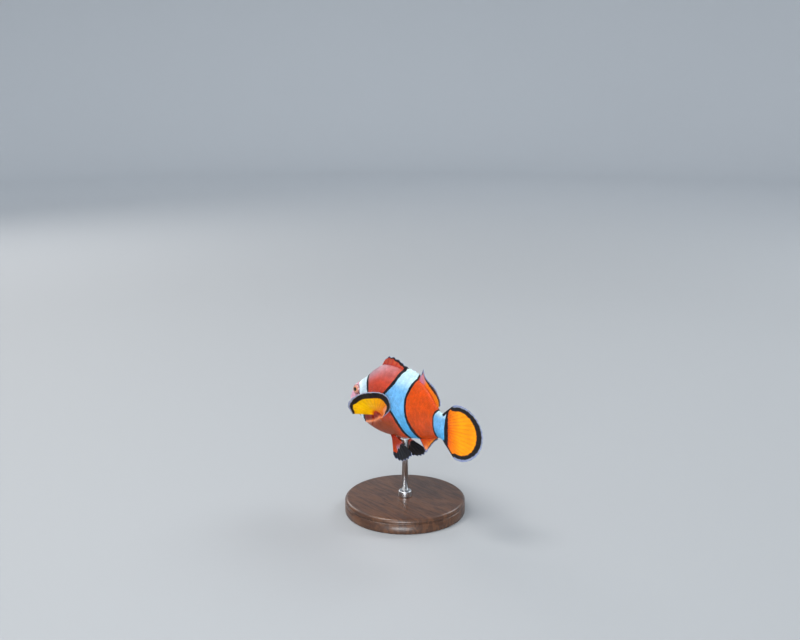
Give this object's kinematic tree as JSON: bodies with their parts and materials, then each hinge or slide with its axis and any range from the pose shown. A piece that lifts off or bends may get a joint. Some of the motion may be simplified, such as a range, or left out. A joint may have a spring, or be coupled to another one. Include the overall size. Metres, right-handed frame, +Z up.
{
  "type": "clownfish",
  "caption": "Life-size still model of an adult orange clownfish with white bands, swimming in a gentle S curve, held over a round wooden base by a short metal rod.",
  "frame": {"origin": "centre of the underside of the stand's round base, straight below the point where the rod meets the belly", "axes": "+Z up; the fish heads along -X, nose slightly down, and its left flank faces -Y"},
  "size_m": [0.078, 0.048, 0.0623],
  "materials": {
    "skin": "satin scaled skin, orange with white bands edged in black",
    "fins": "satin rayed membrane, yellow-orange with a black edge and a pale rim",
    "eyes": "wet gloss, orange-brown iris round a black pupil",
    "stand_wood": "satin oiled walnut",
    "stand_metal": "satin brushed"
  },
  "bodies": {
    "root": {"head": "skin", "lower_jaw": "skin", "gill_cover_left": "skin", "gill_cover_right": "skin", "trunk_front": "skin", "trunk_rear": "skin", "tail_stalk": "skin", "dorsal_fin_spiny": "fins", "dorsal_fin_soft": "fins", "anal_fin": "fins", "tail_fin": "fins", "pectoral_fin_left": "fins", "pectoral_fin_right": "fins", "pelvic_fin_left": "fins", "pelvic_fin_right": "fins", "eye_left": "eyes", "eye_right": "eyes", "stand_base": "stand_wood", "stand_rod": "stand_metal", "stand_collar": "stand_metal"}
  },
  "joints": []
}
